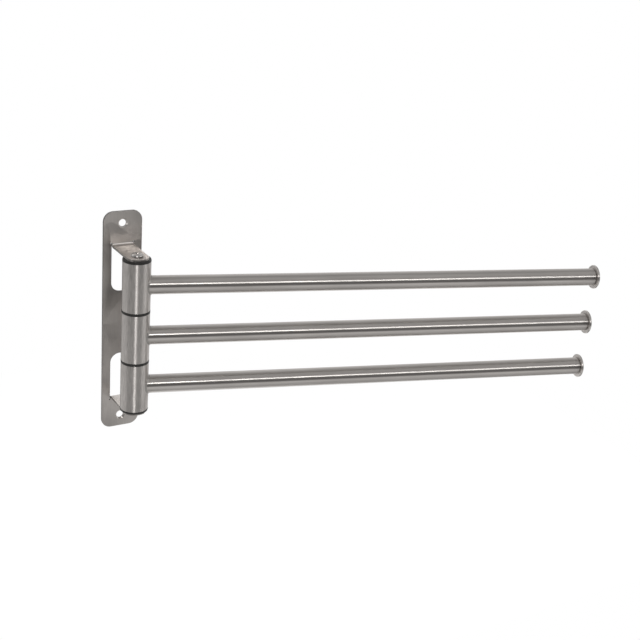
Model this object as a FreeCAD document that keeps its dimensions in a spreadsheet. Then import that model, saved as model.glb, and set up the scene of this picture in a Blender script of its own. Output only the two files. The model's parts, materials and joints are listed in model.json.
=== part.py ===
import FreeCAD, Part
import os
import Sketcher
from FreeCAD import Placement, Rotation, Vector
from math import pi

# Swing arm towel bar: three tube arms that swing about one upright pivot rod,
# which is carried by two tabs bent forward out of a stamped wall plate.
#
# Frame, in millimetres: the wall is the plane y = 0, the room is on its -Y side,
# +Z is up, and the origin is the middle of the plate's back face.
# At rest the arms point along +X, turned out from the wall by one rest angle.

# Driving sizes: name, value and what it measures.
SIZES = [
    ("plate_width", 27.5, "wall plate, across"),
    ("plate_height", 160, "wall plate, up and down"),
    ("plate_corner", 7, "corner radius of the wall plate"),
    ("plate_thickness", 1.5, "sheet that the plate and its tabs are stamped from"),
    ("plate_edge", 0.25, "rolled edge that stamping leaves on the front of the sheet"),
    ("bend_radius", 1.5, "inside radius of the bend between plate and tab"),
    ("pivot_distance", 27, "wall to the pivot axis"),
    ("tab_width", 15, "tab, across"),
    ("tab_nose", 7.8, "pivot axis to the end of the tab"),
    ("tab_flat", 2.2, "straight stretch between the rounded corners of the tab's end"),
    ("window_gap", 0.25, "gap between a tab's edge and the side of its window"),
    ("relief_radius", 0.5, "round relief at each end of a bend"),
    ("bend_factor", 0.35, "depth of a bend's neutral line, as a share of the sheet"),
    ("wall_hole_inset", 8.5, "wall screw hole's centre from the end of the plate"),
    ("wall_hole", 5, "wall screw hole, diameter"),
    ("wall_hole_sink", 7, "countersink of a wall screw hole, diameter at the front"),
    ("barrel_outer", 19.05, "hinge barrel, outside diameter"),
    ("barrel_wall", 1.2, "hinge barrel, wall"),
    ("barrel_length", 34.5, "hinge barrel, length"),
    ("barrel_edge", 0.25, "broken edge at each end of a barrel"),
    ("flange_outer", 19.2, "bush flange, diameter"),
    ("flange_thickness", 0.9, "bush flange, thickness"),
    ("flange_edge", 0.2, "rounded rim of a bush flange"),
    ("bush_length", 9, "part of a bush that is inside its barrel"),
    ("bush_lead", 0.6, "lead-in chamfer of a bush"),
    ("bush_gap", 0.03, "radial gap between a bush and its barrel"),
    ("rod_diameter", 8, "pivot rod, diameter"),
    ("rod_edge", 0.4, "chamfer at each end of the rod"),
    ("running_gap", 0.05, "radial gap between the rod and what turns on it"),
    ("washer_outer", 18.8, "friction washer, diameter"),
    ("washer_thickness", 0.6, "friction washer, thickness"),
    ("screw_diameter", 4, "pivot screw, thread diameter"),
    ("screw_gap", 0.2, "radial gap between a pivot screw and its tab"),
    ("thread_gap", 0.02, "radial gap between a pivot screw and its tapped hole"),
    ("screw_length", 11, "pivot screw, under the head"),
    ("tapping_run", 2.5, "tapped hole in the rod beyond the screw's point"),
    ("head_diameter", 8, "pan head, diameter"),
    ("head_height", 2, "pan head, height"),
    ("head_rim", 0.5, "pan head, upright part of its side"),
    ("recess_span", 4.4, "cross recess, across"),
    ("recess_slot", 1.1, "cross recess, width of a slot"),
    ("recess_depth", 1.2, "cross recess, depth"),
    ("screw_point", 0.6, "chamfer at the screw's point"),
    ("arm_outer", 12.7, "arm tube, outside diameter"),
    ("arm_wall", 1, "arm tube, wall"),
    ("arm_length", 340, "pivot axis to the outer face of an end cap"),
    ("rest_angle", 15.1, "the arms at rest, turned out from the wall, degrees"),
    ("weld_size", 1.1, "leg of the weld seam between tube and barrel"),
    ("cap_outer", 17.6, "end cap flange, diameter"),
    ("cap_thickness", 1.6, "end cap flange, thickness"),
    ("cap_land", 0.4, "end cap, straight stretch between its two rounded rims"),
    ("cap_spigot", 12, "part of an end cap that is inside its tube"),
    ("cap_shell", 1.5, "end cap spigot, wall"),
    ("cap_gap", 0.05, "radial gap between a cap's spigot and its tube"),
    ("cap_lead", 0.8, "lead-in chamfer of a cap's spigot"),
]

ARMS = ["lower", "middle", "upper"]

doc = FreeCAD.newDocument("SwingArmTowelBar")
sheet = doc.addObject("Spreadsheet::Sheet", "Sizes")


class Length:
    """A formula over the sheet's cells: its text for the document, and its value."""

    def __init__(self, text, value):
        self.text = text
        self.value = value

    @staticmethod
    def of(term):
        return term if isinstance(term, Length) else Length(str(term), float(term))

    def joined(self, sign, other, value):
        return Length("(%s %s %s)" % (self.text, sign, other.text), value)

    def __add__(self, other):
        other = Length.of(other)
        return self.joined("+", other, self.value + other.value)

    def __sub__(self, other):
        other = Length.of(other)
        return self.joined("-", other, self.value - other.value)

    def __mul__(self, other):
        other = Length.of(other)
        return self.joined("*", other, self.value * other.value)

    def __truediv__(self, other):
        other = Length.of(other)
        return self.joined("/", other, self.value / other.value)

    def __neg__(self):
        return Length("(0 - %s)" % self.text, -self.value)


def fill_sheet():
    """Write the driving sizes into the sheet and hand them back by name."""
    sizes = {}
    for row, (name, value, meaning) in enumerate(SIZES, start=1):
        sheet.set("A%d" % row, name)
        sheet.set("B%d" % row, str(value))
        sheet.set("C%d" % row, meaning)
        sheet.setAlias("B%d" % row, name)
    doc.recompute()
    for name, value, meaning in SIZES:
        sizes[name] = Length("Sizes.%s" % name, float(sheet.get(name)))
    return sizes


S = fill_sheet()
ZERO = Length.of(0)

# Sizes and places that several pieces share, worked out from the driving sizes.
PLATE_FRONT = -S["plate_thickness"]
PIVOT_Y = -S["pivot_distance"]
ARM_STACK = S["barrel_length"] + S["flange_thickness"] * 2
TAB_GAP = ARM_STACK * len(ARMS) + S["washer_thickness"] * 2
TAB_FACE = TAB_GAP / 2
TAB_BACK = TAB_FACE + S["plate_thickness"]
BEND_TOP = TAB_BACK + S["bend_radius"]
BEND_LENGTH = (S["bend_radius"] + S["plate_thickness"] * S["bend_factor"]) * (pi / 2)
LOWEST_ARM = S["washer_thickness"] + ARM_STACK / 2 - TAB_FACE
BARREL_RADIUS = S["barrel_outer"] / 2
BARREL_BORE = BARREL_RADIUS - S["barrel_wall"]
BUSH_BORE = S["rod_diameter"] / 2 + S["running_gap"]
SCREW_RADIUS = S["screw_diameter"] / 2
ARM_RADIUS = S["arm_outer"] / 2
ARM_BORE = ARM_RADIUS - S["arm_wall"]
CAP_FACE = S["arm_length"] - S["cap_thickness"]


def bind(thing, name, length):
    """Tie one property of an object to a formula."""
    thing.setExpression(name, length.text)


def new_body(label):
    body = doc.addObject("PartDesign::Body", label)
    body.Label = label
    return body


def origin_plane(body, role):
    """The body's own XY_Plane, XZ_Plane, YZ_Plane or axis, found by its role."""
    return next(item for item in body.Origin.OriginFeatures if item.Role == role)


def new_sketch(body, role, name):
    sketch = body.newObject("Sketcher::SketchObject", name)
    sketch.AttachmentSupport = [(origin_plane(body, role), "")]
    sketch.MapMode = "FlatFace"
    return sketch


def fix_coordinate(sketch, kind, element, point, length):
    """Hold one coordinate of a sketch point at a formula, measured from the origin."""
    index = sketch.addConstraint(Sketcher.Constraint(kind, -1, 1, element, point, length.value))
    sketch.renameConstraint(index, "%s_%d_%d" % (kind, element, point))
    sketch.setExpression("Constraints[%d]" % index, length.text)


def fix_point(sketch, element, point, place):
    fix_coordinate(sketch, "DistanceX", element, point, place[0])
    fix_coordinate(sketch, "DistanceY", element, point, place[1])


def draw_outline(sketch, corners):
    """Draw a closed outline with straight sides, each corner held at two formulas."""
    spots = [Vector(x.value, y.value, 0) for x, y in corners]
    first = sketch.GeometryCount
    for start, end in zip(spots, spots[1:] + spots[:1]):
        sketch.addGeometry(Part.LineSegment(start, end), False)
    for number, corner in enumerate(corners):
        before = first + (number - 1) % len(corners)
        sketch.addConstraint(Sketcher.Constraint("Coincident", before, 2, first + number, 1))
        fix_point(sketch, first + number, 1, corner)


def draw_rectangle(sketch, left, right, bottom, top):
    draw_outline(sketch, [(left, bottom), (right, bottom), (right, top), (left, top)])


def draw_circle(sketch, centre, radius):
    middle = Vector(centre[0].value, centre[1].value, 0)
    element = sketch.addGeometry(Part.Circle(middle, Vector(0, 0, 1), radius.value), False)
    fix_point(sketch, element, 3, centre)
    index = sketch.addConstraint(Sketcher.Constraint("Radius", element, radius.value))
    sketch.renameConstraint(index, "Radius_%d" % element)
    sketch.setExpression("Constraints[%d]" % index, radius.text)


def new_feature(body, kind, name, sketch):
    feature = body.newObject("PartDesign::" + kind, name)
    feature.Profile = sketch
    return feature


def check_change(body, feature, before, sign):
    """Recompute, and stop if a feature didn't add or remove material as it should."""
    doc.recompute()
    if (body.Shape.Volume - before) * sign <= 0:
        raise RuntimeError("%s changes nothing in %s" % (feature.Label, body.Label))


def pad(body, name, sketch, length, side="Symmetric"):
    """Add material along the sketch's normal: on both sides of it, or on one."""
    before = body.Shape.Volume if body.Tip else 0
    feature = new_feature(body, "Pad", name, sketch)
    feature.SideType = side
    bind(feature, "Length", length)
    check_change(body, feature, before, 1)
    return feature


def pocket_through(body, name, sketch):
    """Cut the sketch through the whole body, on both sides of its plane."""
    before = body.Shape.Volume
    feature = new_feature(body, "Pocket", name, sketch)
    feature.SideType = "Symmetric"
    feature.Type = "ThroughAll"
    check_change(body, feature, before, -1)
    return feature


def pocket_both(body, name, sketch, length):
    """Cut the sketch to half the length on each side of its plane."""
    before = body.Shape.Volume
    feature = new_feature(body, "Pocket", name, sketch)
    feature.SideType = "Symmetric"
    bind(feature, "Length", length)
    check_change(body, feature, before, -1)
    return feature


def revolve(body, name, sketch, axis):
    feature = new_feature(body, "Revolution", name, sketch)
    feature.ReferenceAxis = (origin_plane(body, axis), [""])
    feature.Angle = 360
    check_change(body, feature, 0, 1)
    return feature


def mirror(body, name, features, role):
    """Repeat features on the other side of one of the body's planes."""
    before = body.Shape.Volume
    feature = body.newObject("PartDesign::Mirrored", name)
    feature.Originals = features
    feature.MirrorPlane = (origin_plane(body, role), [""])
    body.Tip = feature
    doc.recompute()
    if abs(body.Shape.Volume - before) < 1e-6:
        raise RuntimeError("%s changes nothing in %s" % (name, body.Label))
    return feature


def edges_where(body, test):
    """Names of the body's edges whose two ends and middle all pass a test."""
    names = []
    for number, edge in enumerate(body.Shape.Edges, start=1):
        middle = edge.valueAt((edge.FirstParameter + edge.LastParameter) / 2)
        points = [vertex.Point for vertex in edge.Vertexes] + [middle]
        if all(test(point) for point in points):
            names.append("Edge%d" % number)
    return names


def dress(body, kind, name, size, test):
    """Round or chamfer the edges that pass a test; the size is bound to the sheet."""
    chosen = edges_where(body, test)
    if not chosen:
        raise RuntimeError("%s finds no edge in %s" % (name, body.Label))
    base = body.Tip
    feature = body.newObject("PartDesign::" + kind, name)
    feature.Base = (base, chosen)
    bind(feature, "Radius" if kind == "Fillet" else "Size", size)
    doc.recompute()
    return feature


def same(left, right):
    return abs(left - right) < 1e-4


def place(thing, x, y, z, turn=None, axis=Vector(0, 0, 1)):
    """Place a sub-part by formulas: its origin, and a turn in degrees about an axis."""
    angle = turn.value if turn else 0
    thing.Placement = Placement(Vector(x.value, y.value, z.value), Rotation(axis, angle))
    bind(thing, "Placement.Base.x", x)
    bind(thing, "Placement.Base.y", y)
    bind(thing, "Placement.Base.z", z)
    if turn:
        bind(thing, "Placement.Rotation.Angle", turn)


def make_wall_plate():
    """The stamped plate: two windows, and a tab bent forward out of each of them."""
    body = new_body("wall_plate")
    half_width = S["plate_width"] / 2
    half_height = S["plate_height"] / 2
    outline = new_sketch(body, "XZ_Plane", "plate_outline")
    draw_rectangle(outline, -half_width, half_width, -half_height, half_height)
    pad(body, "plate_blank", outline, S["plate_thickness"], "One side")

    # A window is as long as the flat blank of the tab that is bent out of it.
    tab_end = PIVOT_Y - S["tab_nose"]
    tab_blank = BEND_LENGTH - tab_end - S["plate_thickness"] - S["bend_radius"]
    window_end = BEND_TOP - tab_blank
    window_side = S["tab_width"] / 2 + S["window_gap"]
    half_flat = S["tab_flat"] / 2
    window_sketch = new_sketch(body, "XZ_Plane", "window_outline")
    draw_rectangle(window_sketch, -window_side, window_side, window_end, BEND_TOP)
    window = pocket_through(body, "window", window_sketch)
    relief_sketch = new_sketch(body, "XZ_Plane", "relief_outline")
    relief_x = S["tab_width"] / 2 + S["relief_radius"]
    draw_circle(relief_sketch, (-relief_x, BEND_TOP), S["relief_radius"])
    draw_circle(relief_sketch, (relief_x, BEND_TOP), S["relief_radius"])
    relief = pocket_through(body, "relief", relief_sketch)

    tab_sketch = new_sketch(body, "YZ_Plane", "tab_profile")
    draw_tab_profile(tab_sketch, tab_end)
    tab = pad(body, "tab", tab_sketch, S["tab_width"])
    mirror(body, "lower_half", [window, relief, tab], "XY_Plane")

    pivot_sketch = new_sketch(body, "XY_Plane", "pivot_holes")
    draw_circle(pivot_sketch, (ZERO, PIVOT_Y), SCREW_RADIUS + S["screw_gap"])
    pocket_through(body, "pivot_hole", pivot_sketch)
    wall_hole_z = half_height - S["wall_hole_inset"]
    hole_sketch = new_sketch(body, "XZ_Plane", "wall_holes")
    draw_circle(hole_sketch, (ZERO, wall_hole_z), S["wall_hole"] / 2)
    draw_circle(hole_sketch, (ZERO, -wall_hole_z), S["wall_hole"] / 2)
    pocket_through(body, "wall_hole", hole_sketch)

    front = PLATE_FRONT.value
    sink_reach = S["wall_hole"].value / 2 + 1e-3
    dress(body, "Chamfer", "countersink", (S["wall_hole_sink"] - S["wall_hole"]) / 2,
          lambda p: same(p.y, front) and abs(p.x) < sink_reach
          and abs(abs(p.z) - wall_hole_z.value) < sink_reach)
    dress(body, "Fillet", "plate_corners", S["plate_corner"],
          lambda p: same(abs(p.x), half_width.value) and same(abs(p.z), half_height.value))
    dress(body, "Fillet", "window_corners", window_side - half_flat,
          lambda p: same(abs(p.x), window_side.value) and same(abs(p.z), window_end.value))
    dress(body, "Fillet", "tab_corners", S["tab_width"] / 2 - half_flat,
          lambda p: same(abs(p.x), S["tab_width"].value / 2) and same(p.y, tab_end.value))
    corner = S["plate_corner"].value
    side = half_width.value
    top = half_height.value
    dress(body, "Fillet", "rolled_edge", S["plate_edge"],
          lambda p: same(p.y, front) and (same(abs(p.x), side) or same(abs(p.z), top)
                                          or (abs(p.x) > side - corner and abs(p.z) > top - corner)))
    place(body, ZERO, ZERO, ZERO)
    return body


def draw_tab_profile(sketch, tab_end):
    """Side view of the upper tab: the bend's two arcs about one centre, then the flat."""
    bend_y = PLATE_FRONT - S["bend_radius"]
    centre = Vector(bend_y.value, BEND_TOP.value, 0)
    inner = S["bend_radius"]
    outer = inner + S["plate_thickness"]
    corners = [
        (PLATE_FRONT, BEND_TOP),
        (ZERO, BEND_TOP),
        (bend_y, TAB_FACE),
        (tab_end, TAB_FACE),
        (tab_end, TAB_BACK),
        (bend_y, TAB_BACK),
    ]
    spots = [Vector(y.value, z.value, 0) for y, z in corners]
    normal = Vector(0, 0, 1)
    quarter = pi / 2
    top = sketch.addGeometry(Part.LineSegment(spots[0], spots[1]), False)
    outer_arc = sketch.addGeometry(
        Part.ArcOfCircle(Part.Circle(centre, normal, outer.value), -quarter, 0), False)
    under = sketch.addGeometry(Part.LineSegment(spots[2], spots[3]), False)
    end = sketch.addGeometry(Part.LineSegment(spots[3], spots[4]), False)
    over = sketch.addGeometry(Part.LineSegment(spots[4], spots[5]), False)
    inner_arc = sketch.addGeometry(
        Part.ArcOfCircle(Part.Circle(centre, normal, inner.value), -quarter, 0), False)
    joints = [(top, 2, outer_arc, 2), (outer_arc, 1, under, 1), (under, 2, end, 1),
              (end, 2, over, 1), (over, 2, inner_arc, 1), (inner_arc, 2, top, 1)]
    for joint in joints:
        sketch.addConstraint(Sketcher.Constraint("Coincident", *joint))
    sketch.addConstraint(Sketcher.Constraint("Coincident", outer_arc, 3, inner_arc, 3))
    fix_point(sketch, top, 1, corners[0])
    fix_point(sketch, top, 2, corners[1])
    fix_point(sketch, end, 1, corners[3])
    fix_point(sketch, end, 2, corners[4])
    fix_point(sketch, outer_arc, 3, (bend_y, BEND_TOP))
    fix_coordinate(sketch, "DistanceX", under, 1, bend_y)
    fix_coordinate(sketch, "DistanceX", over, 2, bend_y)


def make_pivot_rod():
    """The rod between the tabs, tapped at both ends for the pivot screws."""
    body = new_body("pivot_rod")
    section = new_sketch(body, "XY_Plane", "rod_section")
    draw_circle(section, (ZERO, ZERO), S["rod_diameter"] / 2)
    pad(body, "rod", section, TAB_GAP)
    tapping = new_sketch(body, "XZ_Plane", "tapping_profile")
    tapped = SCREW_RADIUS + S["thread_gap"]
    bottom = TAB_BACK - S["screw_length"] - S["tapping_run"]
    point = bottom - tapped / 2
    draw_outline(tapping, [(ZERO, point), (tapped, bottom), (tapped, TAB_FACE), (ZERO, TAB_FACE)])
    before = body.Shape.Volume
    hole = new_feature(body, "Groove", "tapped_hole", tapping)
    hole.ReferenceAxis = (origin_plane(body, "Z_Axis"), [""])
    hole.Angle = 360
    check_change(body, hole, before, -1)
    mirror(body, "lower_tapped_hole", [hole], "XY_Plane")
    dress(body, "Chamfer", "rod_edges", S["rod_edge"],
          lambda p: same(p.x ** 2 + p.y ** 2, (S["rod_diameter"].value / 2) ** 2)
          and same(abs(p.z), TAB_FACE.value))
    place(body, ZERO, PIVOT_Y, ZERO)
    return body


def make_pivot_screw(label, z, turn):
    """A pan-head screw whose head seats on a tab's outer face and points to the rod."""
    body = new_body(label)
    profile = new_sketch(body, "XZ_Plane", "screw_profile")
    head = S["head_diameter"] / 2
    draw_outline(profile, [(ZERO, -S["screw_length"]), (SCREW_RADIUS, -S["screw_length"]),
                           (SCREW_RADIUS, ZERO), (head, ZERO),
                           (head, S["head_height"]), (ZERO, S["head_height"])])
    revolve(body, "screw", profile, "Z_Axis")
    dress(body, "Fillet", "pan_shoulder", S["head_height"] - S["head_rim"],
          lambda p: same(p.z, S["head_height"].value) and p.x ** 2 + p.y ** 2 > 1)
    dress(body, "Chamfer", "point", S["screw_point"],
          lambda p: same(p.z, -S["screw_length"].value) and p.x ** 2 + p.y ** 2 > 1)
    cross = new_sketch(body, "XY_Plane", "recess_outline")
    cross.AttachmentOffset = Placement(Vector(0, 0, S["head_height"].value), Rotation())
    bind(cross, "AttachmentOffset.Base.z", S["head_height"])
    slot = S["recess_slot"] / 2
    span = S["recess_span"] / 2
    draw_outline(cross, [(slot, slot), (span, slot), (span, -slot), (slot, -slot),
                         (slot, -span), (-slot, -span), (-slot, -slot), (-span, -slot),
                         (-span, slot), (-slot, slot), (-slot, span), (slot, span)])
    pocket_both(body, "recess", cross, S["recess_depth"] * 2)
    place(body, ZERO, PIVOT_Y, z, turn, Vector(1, 0, 0))
    return body


def make_washer(label, z):
    """A friction washer between a tab and the flange of the bush beside it."""
    body = new_body(label)
    section = new_sketch(body, "XY_Plane", "washer_section")
    draw_circle(section, (ZERO, ZERO), S["washer_outer"] / 2)
    draw_circle(section, (ZERO, ZERO), BUSH_BORE)
    pad(body, "washer", section, S["washer_thickness"], "One side")
    place(body, ZERO, PIVOT_Y, z)
    return body


def make_barrel(label, z):
    """The hinge barrel that one arm is welded to."""
    body = new_body(label)
    section = new_sketch(body, "XY_Plane", "barrel_section")
    draw_circle(section, (ZERO, ZERO), BARREL_RADIUS)
    draw_circle(section, (ZERO, ZERO), BARREL_BORE)
    pad(body, "barrel", section, S["barrel_length"])
    dress(body, "Chamfer", "barrel_edges", S["barrel_edge"],
          lambda p: same(p.x ** 2 + p.y ** 2, BARREL_RADIUS.value ** 2)
          and same(abs(p.z), S["barrel_length"].value / 2))
    place(body, ZERO, PIVOT_Y, z)
    return body


def make_bush(label, z, turn):
    """A flanged bush: its flange lies on the barrel's end, its spigot is in the bore."""
    body = new_body(label)
    profile = new_sketch(body, "XZ_Plane", "bush_profile")
    spigot = BARREL_BORE - S["bush_gap"]
    flange = S["flange_outer"] / 2
    lead = S["bush_lead"]
    draw_outline(profile, [(BUSH_BORE, -S["bush_length"]), (spigot - lead, -S["bush_length"]),
                           (spigot, lead - S["bush_length"]), (spigot, ZERO), (flange, ZERO),
                           (flange, S["flange_thickness"]), (BUSH_BORE, S["flange_thickness"])])
    revolve(body, "bush", profile, "Z_Axis")
    dress(body, "Fillet", "flange_rim", S["flange_edge"],
          lambda p: same(p.x ** 2 + p.y ** 2, flange.value ** 2))
    place(body, ZERO, PIVOT_Y, z, turn, Vector(1, 0, 0))
    return body


def make_arm_tube(label, z, rest_angle):
    """The tube of one arm, its end coped to the outside of the barrel."""
    body = new_body(label)
    section = new_sketch(body, "YZ_Plane", "tube_section")
    draw_circle(section, (ZERO, ZERO), ARM_RADIUS)
    draw_circle(section, (ZERO, ZERO), ARM_BORE)
    pad(body, "tube", section, CAP_FACE, "One side")
    coping = new_sketch(body, "XY_Plane", "coping_circle")
    draw_circle(coping, (ZERO, ZERO), BARREL_RADIUS)
    pocket_through(body, "coping", coping)
    place(body, ZERO, PIVOT_Y, z, -rest_angle)
    return body


def make_weld_seam(label, z, rest_angle):
    """The ring of weld round the joint: the slope between tube and barrel, alone."""
    barrel = doc.addObject("Part::Cylinder", label + "_barrel")
    bind(barrel, "Radius", BARREL_RADIUS)
    bind(barrel, "Height", S["barrel_length"])
    barrel.Placement = Placement(Vector(0, 0, -S["barrel_length"].value / 2), Rotation())
    bind(barrel, "Placement.Base.z", -S["barrel_length"] / 2)
    tube = doc.addObject("Part::Cylinder", label + "_tube")
    bind(tube, "Radius", ARM_RADIUS)
    bind(tube, "Height", S["barrel_outer"])
    tube.Placement = Placement(Vector(), Rotation(Vector(0, 1, 0), 90))
    joint = doc.addObject("Part::Fuse", label + "_joint")
    joint.Base = barrel
    joint.Tool = tube
    doc.recompute()
    seam = [number for number, edge in enumerate(joint.Shape.Edges, start=1)
            if is_joint_edge(edge)]
    sloped = doc.addObject("Part::Chamfer", label + "_sloped")
    sloped.Base = joint
    sloped.Edges = [(number, S["weld_size"].value, S["weld_size"].value) for number in seam]
    weld = doc.addObject("Part::Cut", label)
    weld.Base = sloped
    weld.Tool = joint
    weld.Label = label
    doc.recompute()
    place(weld, ZERO, PIVOT_Y, z, -rest_angle)
    return weld


def is_joint_edge(edge):
    """True where an edge lies on the barrel and on the tube at once."""
    middle = edge.valueAt((edge.FirstParameter + edge.LastParameter) / 2)
    on_barrel = same(middle.x ** 2 + middle.y ** 2, BARREL_RADIUS.value ** 2)
    on_tube = same(middle.y ** 2 + middle.z ** 2, ARM_RADIUS.value ** 2)
    return on_barrel and on_tube and middle.x > 0


def make_end_cap(label, z, rest_angle):
    """The flanged cap at the end of an arm, its spigot in the tube."""
    body = new_body(label)
    profile = new_sketch(body, "XZ_Plane", "cap_profile")
    spigot = ARM_BORE - S["cap_gap"]
    hollow = spigot - S["cap_shell"]
    flange = S["cap_outer"] / 2
    inner_end = CAP_FACE - S["cap_spigot"]
    draw_outline(profile, [(CAP_FACE, ZERO), (CAP_FACE, hollow), (inner_end, hollow),
                           (inner_end, spigot - S["cap_lead"]), (inner_end + S["cap_lead"], spigot),
                           (CAP_FACE, spigot), (CAP_FACE, flange), (S["arm_length"], flange),
                           (S["arm_length"], ZERO)])
    revolve(body, "cap", profile, "X_Axis")
    dress(body, "Fillet", "cap_rims", (S["cap_thickness"] - S["cap_land"]) / 2,
          lambda p: same(p.y ** 2 + p.z ** 2, flange.value ** 2))
    place(body, ZERO, PIVOT_Y, z, -rest_angle)
    return body


def make_parts():
    """Every sub-part, from the wall outwards and from the lowest arm to the top."""
    half_turn = Length.of(180)
    level = Length.of(0)
    parts = [make_wall_plate(), make_pivot_rod()]
    parts.append(make_pivot_screw("pivot_screw_top", TAB_BACK, level))
    parts.append(make_pivot_screw("pivot_screw_bottom", -TAB_BACK, half_turn))
    parts.append(make_washer("friction_washer_top", TAB_FACE - S["washer_thickness"]))
    parts.append(make_washer("friction_washer_bottom", -TAB_FACE))
    barrel_end = S["barrel_length"] / 2
    for number, arm in enumerate(ARMS):
        z = LOWEST_ARM + ARM_STACK * number
        rest_angle = S["rest_angle"]
        parts.append(make_barrel("barrel_" + arm, z))
        parts.append(make_bush("bush_%s_top" % arm, z + barrel_end, level))
        parts.append(make_bush("bush_%s_bottom" % arm, z - barrel_end, half_turn))
        parts.append(make_arm_tube("arm_tube_" + arm, z, rest_angle))
        parts.append(make_weld_seam("weld_seam_" + arm, z, rest_angle))
        parts.append(make_end_cap("end_cap_" + arm, z, rest_angle))
    return parts


def check_document(parts):
    """Stop if any object failed, or if a sub-part's shape is missing or not valid."""
    for thing in doc.Objects:
        if "Invalid" in thing.State or "Error" in thing.State:
            raise RuntimeError("%s failed: %s" % (thing.Label, thing.State))
    for part in parts:
        if part.Shape.isNull() or not part.Shape.isValid():
            raise RuntimeError("%s has no valid shape" % part.Label)
        if len(part.Shape.Solids) != 1:
            raise RuntimeError("%s has %d solids" % (part.Label, len(part.Shape.Solids)))


def write_parts(parts):
    os.makedirs("parts", exist_ok=True)
    for part in parts:
        part.Shape.exportStep(os.path.join("parts", part.Label + ".step"))
        box = part.Shape.BoundBox
        print("%-20s volume %9.2f  x %7.2f %7.2f  y %7.2f %7.2f  z %7.2f %7.2f" % (
            part.Label, part.Shape.Volume, box.XMin, box.XMax, box.YMin, box.YMax,
            box.ZMin, box.ZMax))


made = make_parts()
doc.recompute()
check_document(made)
write_parts(made)
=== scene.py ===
"""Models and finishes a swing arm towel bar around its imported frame.

Lengths are in metres. The wall is the plane y = 0, the room is on its -Y side and
+Z is up. Three arms swing about one upright pivot in front of the wall.
"""

import json
from math import asin, atan2, cos, hypot, pi, radians, sin, sqrt

import bmesh
import bpy
from bpy.props import FloatProperty, FloatVectorProperty, PointerProperty
from mathutils import Matrix, Vector


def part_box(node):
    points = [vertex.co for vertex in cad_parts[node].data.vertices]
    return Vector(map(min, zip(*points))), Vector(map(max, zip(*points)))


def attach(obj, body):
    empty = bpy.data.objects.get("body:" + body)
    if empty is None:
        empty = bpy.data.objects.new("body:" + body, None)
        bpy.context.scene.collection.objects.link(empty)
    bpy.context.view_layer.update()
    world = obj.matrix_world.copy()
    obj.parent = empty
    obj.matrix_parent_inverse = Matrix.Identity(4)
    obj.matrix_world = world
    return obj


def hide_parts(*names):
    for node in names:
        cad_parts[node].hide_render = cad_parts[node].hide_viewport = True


bl_info = {
    "name": "Swing Arm Towel Bar",
    "version": (1, 0, 0),
    "blender": (4, 5, 0),
    "location": "3D View > Sidebar > Towel Bar",
    "description": "Models and finishes a brushed steel towel bar around its packed frame",
    "category": "Add Mesh",
}

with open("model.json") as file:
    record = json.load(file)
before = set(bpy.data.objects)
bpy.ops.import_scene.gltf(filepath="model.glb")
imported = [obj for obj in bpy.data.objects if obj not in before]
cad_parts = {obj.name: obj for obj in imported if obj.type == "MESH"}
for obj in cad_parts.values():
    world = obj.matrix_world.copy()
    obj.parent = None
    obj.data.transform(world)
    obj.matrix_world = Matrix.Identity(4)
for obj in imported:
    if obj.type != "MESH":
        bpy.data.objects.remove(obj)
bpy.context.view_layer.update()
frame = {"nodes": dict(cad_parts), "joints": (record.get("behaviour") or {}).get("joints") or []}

ARMS = ("lower", "middle", "upper")
MM = 0.001

# How finely round shapes are drawn, in steps.
TURN_STEPS = 128
SCREW_STEPS = 64
CORNER_STEPS = 12
HOLE_STEPS = 32

# Edges over SHARP are rounded, and edges over CREASE are shaded as sharp.
SHARP = radians(50)
CREASE = radians(35)

# Weight of the height over the radius in U of a turned piece's map "grain".
OUTLINE_STRETCH = 3

# How far past the barrel's side a tube or seam is bent to fit it.
COPE_REACH = 3 * MM

# Where a sheet's faces belong, for their painted light and shade: to a tab past this share of
# the sheet's thickness, and to a cut edge by how far their normals lean. A head's rim, which
# gets a painted shadow, starts at a share of its radius.
TAB_STARTS = 1.1
SIDEWAYS = 0.5
UPRIGHT = 0.6
RIM_STARTS = 0.9

# Painted light and shade: how much lighter or darker than its steel a part of a piece is drawn.
# Painted light on the bent tabs, drawn lighter than the plate.
TAB_PAINTED_LIGHT = 0.62
# Painted shade on the cut edges of the tabs and of the plate.
TAB_EDGE_PAINTED_SHADE = -0.3
PLATE_EDGE_PAINTED_SHADE = -0.65
# Painted highlight on the countersink chamfers.
COUNTERSINK_PAINTED_HIGHLIGHT = 0.3
# Painted shadow at the foot of a screw head.
HEAD_RIM_PAINTED_SHADOW = -0.7

# Taper of the cross recess, and how far it is turned in radians.
RECESS_TAPER = (0.55, 0.8, 1)
RECESS_TURN = 0.5

# Corners of a weld seam, as shares of its leg.
SEAM_FOOT = 0.6
SEAM_SWELL = 0.56

# The middle part of a noise texture's values, which a pattern spreads out.
NOISE_LOW = 0.28
NOISE_HIGH = 0.72

# How far roughness strays on brushed and on smooth metal, and how strong bumps are.
BRUSHED_SPREAD = 0.03
SMOOTH_SPREAD = 0.05
BUMP = 0.4

# How far the finish moves on from one barrel or arm to the next, so that none repeats.
NEXT_BARREL = 40 * MM
NEXT_ARM = 400 * MM

# Grain sizes and roughness of the smudges on brushed steel.
SMUDGE = (18 * MM, 18 * MM, 30 * MM)
SMUDGE_POLISH = -0.04
SMUDGE_DULL = 0.05

# Size and place of the dents that keep the sheet from being quite flat.
DENT = (30 * MM, 50 * MM, 45 * MM)
DENT_PLACE = (1.7, 0, 0.2)

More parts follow.
